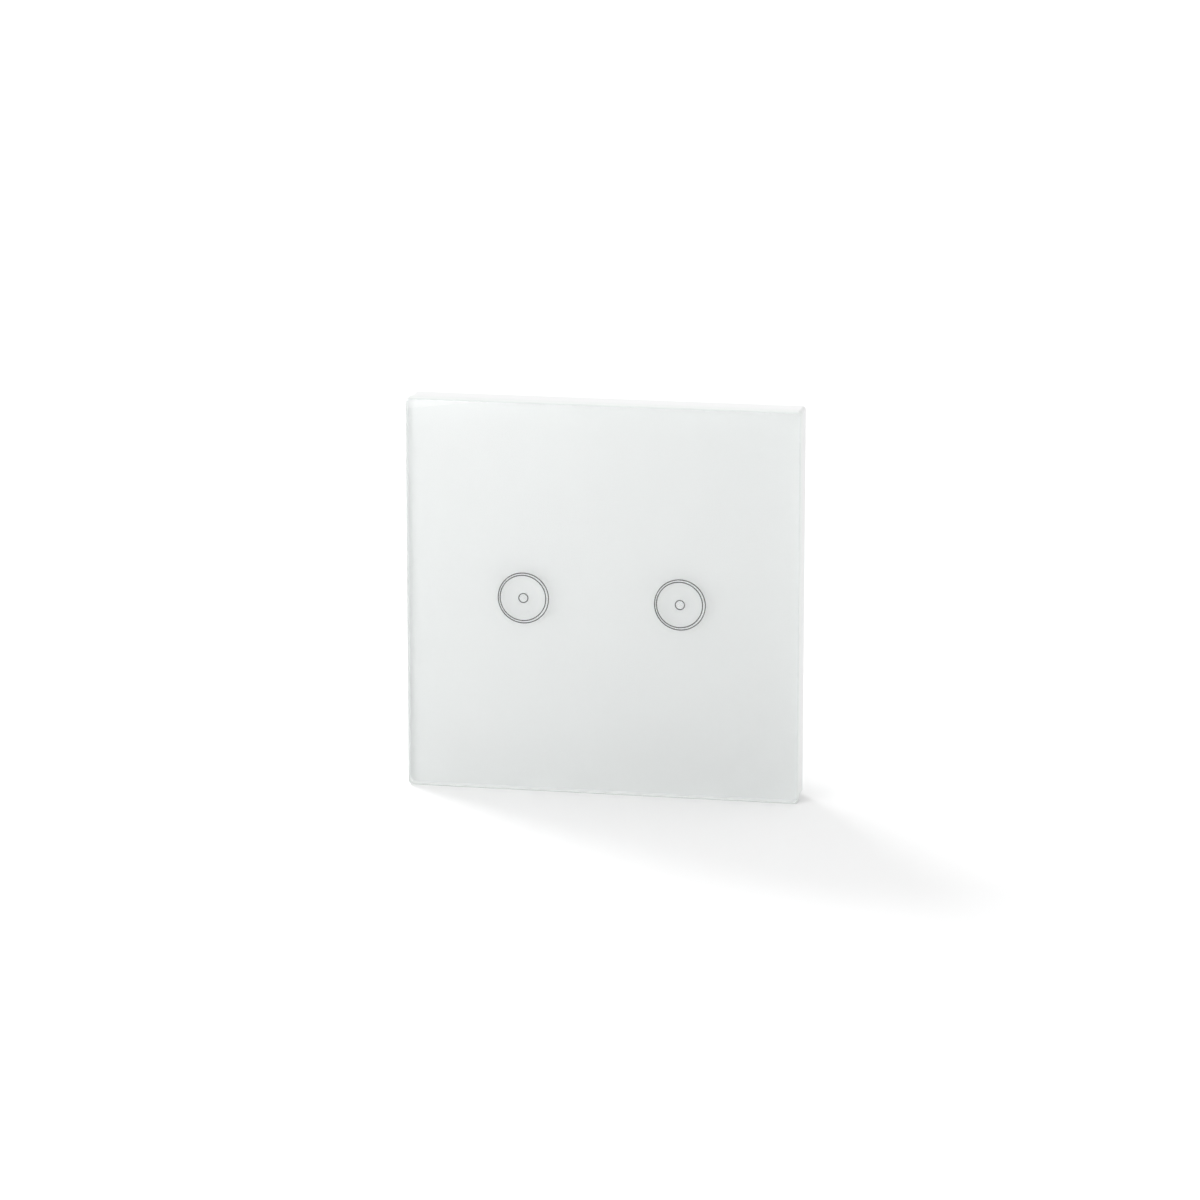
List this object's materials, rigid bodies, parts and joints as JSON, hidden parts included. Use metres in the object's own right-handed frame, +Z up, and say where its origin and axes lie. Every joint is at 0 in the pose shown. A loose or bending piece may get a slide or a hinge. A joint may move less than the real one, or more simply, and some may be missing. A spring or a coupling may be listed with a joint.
{
  "type": "smart light switch",
  "caption": "Two-key smart light switch: square glass touch panel on a moulded frame, with a relay module for a wall box behind it.",
  "frame": {"origin": "halfway between the two box screws, in the wall plane", "axes": "+X to the right as the user sees it, +Y into the wall, +Z up"},
  "size_m": [0.086, 0.036, 0.086],
  "materials": {
    "glass": "clear tempered glass with ground edges",
    "enamel": "enamel fired into the glass face: a pale band between fine grey lines",
    "ink": "white ink seen through the glass",
    "milky_ink": "milky ink that lets the key light through",
    "tape": "white foam tape",
    "carrier": "fine satin white moulding",
    "spring_steel": "bright rolled spring steel",
    "frame": "white flame-retardant moulding",
    "cover": "smooth white moulding",
    "light_guide": "milky light-guide plastic",
    "spring_wire": "tinned spring wire",
    "circuit_board": "green solder mask",
    "led": "small light chips",
    "chip": "black moulding compound",
    "shield": "tinned steel can",
    "connector": "black connector moulding",
    "housing": "white flame-retardant moulding, satin",
    "zinc_screw": "zinc-plated steel",
    "terminal": "green terminal moulding",
    "brass": "bright brass",
    "relay_case": "dark blue relay moulding",
    "bobbin": "natural nylon",
    "copper": "enamelled copper wire",
    "iron": "nickel-plated soft iron",
    "ferrite": "dark ferrite",
    "coil_tape": "yellow winding tape",
    "aluminium_can": "sleeved aluminium can",
    "disc_coat": "blue dipped coating",
    "fuse_body": "black moulding"
  },
  "bodies": {
    "root": {"base_frame": "frame", "front_cover": "cover", "cover_screws": "zinc_screw", "touch_board": "circuit_board", "indicator_leds": "led", "touch_controller": "chip", "wifi_module": "circuit_board", "wifi_shield": "shield", "board_header": "connector", "board_socket": "connector", "rear_housing": "housing", "housing_screws": "zinc_screw", "power_board": "circuit_board", "terminal_block": "terminal", "terminal_tongues": "brass", "transformer_core": "ferrite", "transformer_coil": "coil_tape", "bulk_capacitor": "aluminium_can", "output_capacitor": "aluminium_can", "varistor": "disc_coat", "fuse": "fuse_body", "rectifier": "chip", "light_ring_left": "light_guide", "touch_spring_left": "spring_wire", "relay_case_left": "relay_case", "relay_base_left": "chip", "relay_bobbin_left": "bobbin", "relay_winding_left": "copper", "relay_yoke_left": "iron", "relay_fixed_contact_left": "brass", "light_ring_right": "light_guide", "touch_spring_right": "spring_wire", "relay_case_right": "relay_case", "relay_base_right": "chip", "relay_bobbin_right": "bobbin", "relay_winding_right": "copper", "relay_yoke_right": "iron", "relay_fixed_contact_right": "brass"},
    "panel": {"glass_panel": "glass", "key_marks": "enamel", "light_windows": "milky_ink", "screen_print": "ink", "adhesive_tape": "tape", "panel_carrier": "carrier", "snap_clips": "spring_steel"},
    "clamp_screw_1": {"terminal_screw_1": "zinc_screw"},
    "clamp_cage_1": {"terminal_cage_1": "iron"},
    "clamp_screw_2": {"terminal_screw_2": "zinc_screw"},
    "clamp_cage_2": {"terminal_cage_2": "iron"},
    "clamp_screw_3": {"terminal_screw_3": "zinc_screw"},
    "clamp_cage_3": {"terminal_cage_3": "iron"},
    "clamp_screw_4": {"terminal_screw_4": "zinc_screw"},
    "clamp_cage_4": {"terminal_cage_4": "iron"},
    "armature_left": {"relay_armature_left": "iron", "relay_blade_left": "brass"},
    "armature_right": {"relay_armature_right": "iron", "relay_blade_right": "brass"}
  },
  "joints": [
    {"name": "panel_pull", "type": "slide", "parent": "root", "child": "panel", "axis": [0, -1, 0], "range_m": [0, 0.02], "deforming": ["snap_clips"]},
    {"name": "terminal_screw_1_turn", "type": "hinge", "parent": "root", "child": "clamp_screw_1", "pos_m": [-0.00953, 0.023, -0.01965], "axis": [0, -1, 0], "range_deg": [0, 2160.5]},
    {"name": "terminal_cage_1_lift", "type": "slide", "parent": "root", "child": "clamp_cage_1", "axis": [0, 1, 0], "range_m": [0, 0.003]},
    {"name": "terminal_screw_2_turn", "type": "hinge", "parent": "root", "child": "clamp_screw_2", "pos_m": [-0.00317, 0.023, -0.01965], "axis": [0, -1, 0], "range_deg": [0, 2160.5]},
    {"name": "terminal_cage_2_lift", "type": "slide", "parent": "root", "child": "clamp_cage_2", "axis": [0, 1, 0], "range_m": [0, 0.003]},
    {"name": "terminal_screw_3_turn", "type": "hinge", "parent": "root", "child": "clamp_screw_3", "pos_m": [0.00317, 0.023, -0.01965], "axis": [0, -1, 0], "range_deg": [0, 2160.5]},
    {"name": "terminal_cage_3_lift", "type": "slide", "parent": "root", "child": "clamp_cage_3", "axis": [0, 1, 0], "range_m": [0, 0.003]},
    {"name": "terminal_screw_4_turn", "type": "hinge", "parent": "root", "child": "clamp_screw_4", "pos_m": [0.00953, 0.023, -0.01965], "axis": [0, -1, 0], "range_deg": [0, 2160.5]},
    {"name": "terminal_cage_4_lift", "type": "slide", "parent": "root", "child": "clamp_cage_4", "axis": [0, 1, 0], "range_m": [0, 0.003]},
    {"name": "relay_left_close", "type": "hinge", "parent": "root", "child": "armature_left", "pos_m": [-0.0169, 0.0195, -0.0068], "axis": [0, 0, -1], "range_deg": [0, 4.2], "stiffness_Nm_per_rad": 0.01, "springref_deg": -5.73},
    {"name": "relay_right_close", "type": "hinge", "parent": "root", "child": "armature_right", "pos_m": [0.0035, 0.0195, -0.0068], "axis": [0, 0, -1], "range_deg": [0, 4.2], "stiffness_Nm_per_rad": 0.01, "springref_deg": -5.73}
  ],
  "couplings": [
    {"joint": "terminal_screw_1_turn", "follows": "terminal_cage_1_lift", "rad_per_m": 12566},
    {"joint": "terminal_screw_2_turn", "follows": "terminal_cage_2_lift", "rad_per_m": 12566},
    {"joint": "terminal_screw_3_turn", "follows": "terminal_cage_3_lift", "rad_per_m": 12566},
    {"joint": "terminal_screw_4_turn", "follows": "terminal_cage_4_lift", "rad_per_m": 12566}
  ]
}
